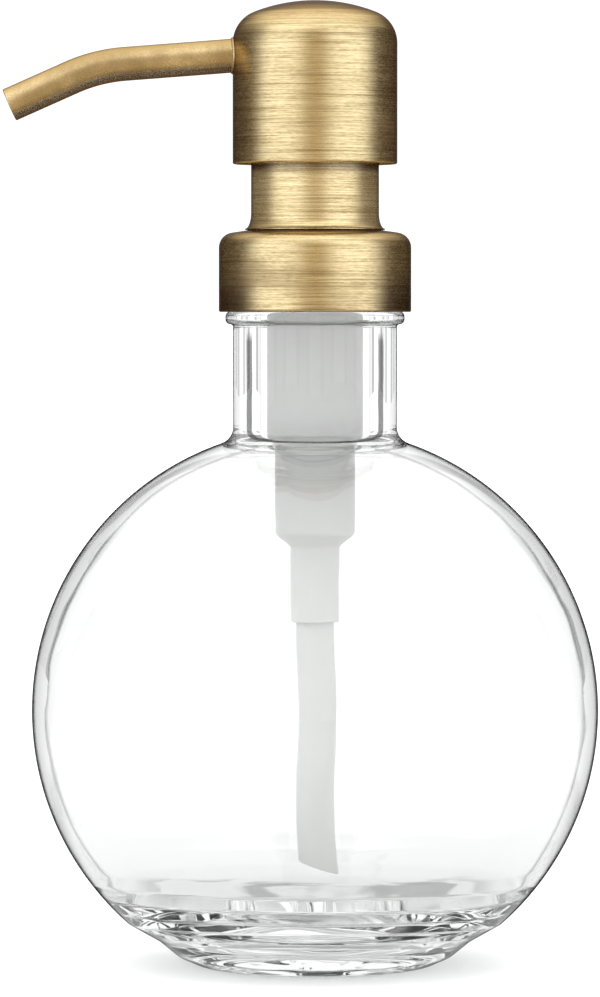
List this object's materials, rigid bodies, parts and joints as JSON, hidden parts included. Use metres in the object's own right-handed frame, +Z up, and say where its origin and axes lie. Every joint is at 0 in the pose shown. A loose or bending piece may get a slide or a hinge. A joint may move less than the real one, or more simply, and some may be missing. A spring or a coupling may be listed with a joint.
{
  "type": "soap pump dispenser",
  "caption": "Ball-shaped clear glass bottle with a screw-on brass lotion pump whose sprung head presses down and swivels, with a downturned spout.",
  "frame": {"origin": "middle of the bounding box of the whole object at the height of the surface that it stands on", "axes": "+Z up along the bottle's axis, the spout points along -X, +Y is the remaining direction"},
  "size_m": [0.1071, 0.1018, 0.1733],
  "materials": {
    "clear_glass": "clear blown glass, smooth and glossy, with slight waves near the base",
    "antique_brass": "antique brass with fine brushing around it and darker patches",
    "satin_brass": "antique brass with a smooth satin surface",
    "natural_plastic": "natural polypropylene, cloudy white",
    "white_plastic": "white moulded polypropylene",
    "soft_plastic": "soft white polyethylene",
    "foam_gasket": "pale closed-cell foam",
    "steel": "bright stainless steel"
  },
  "bodies": {
    "container": {"bottle": "clear_glass"},
    "pump_unit": {"neck_gasket": "foam_gasket", "pump_housing": "natural_plastic", "valve_cage": "white_plastic", "dip_tube": "natural_plastic", "guide_bush": "white_plastic", "neck_sleeve": "antique_brass", "return_spring": "steel"},
    "collar": {"collar_shell": "antique_brass", "closure_ring": "white_plastic"},
    "piston": {"piston_seal": "soft_plastic"},
    "head": {"piston_rod": "white_plastic", "upper_stem": "white_plastic", "stem_washer": "foam_gasket", "head_shell": "antique_brass", "actuator_core": "white_plastic", "spout_tube": "satin_brass", "spout_liner": "white_plastic"},
    "inlet_valve": {"inlet_ball": "steel"},
    "outlet_valve": {"outlet_ball": "steel"}
  },
  "joints": [
    {"name": "pump_rise", "type": "slide", "parent": "container", "child": "pump_unit", "axis": [0, 0, 1], "range_m": [0, 0.0053]},
    {"name": "collar_turn", "type": "hinge", "parent": "pump_unit", "child": "collar", "pos_m": [0.00258, 0, 0.1245], "axis": [0, 0, 1], "range_deg": [0, 450]},
    {"name": "head_press", "type": "slide", "parent": "pump_unit", "child": "piston", "axis": [0, 0, -1], "range_m": [0, 0.0105], "stiffness_N_per_m": 600, "springref_m": -0.01, "deforming": ["return_spring"]},
    {"name": "head_swivel", "type": "hinge", "parent": "piston", "child": "head", "pos_m": [0.00258, 0, 0.1585], "axis": [0, 0, 1], "continuous": true},
    {"name": "inlet_ball_lift", "type": "slide", "parent": "pump_unit", "child": "inlet_valve", "axis": [0, 0, 1], "range_m": [0, 0.0015]},
    {"name": "outlet_ball_lift", "type": "slide", "parent": "head", "child": "outlet_valve", "axis": [0, 0, 1], "range_m": [0, 0.001]}
  ],
  "couplings": [
    {"joint": "pump_rise", "follows": "collar_turn", "m_per_rad": 0.00067375}
  ]
}
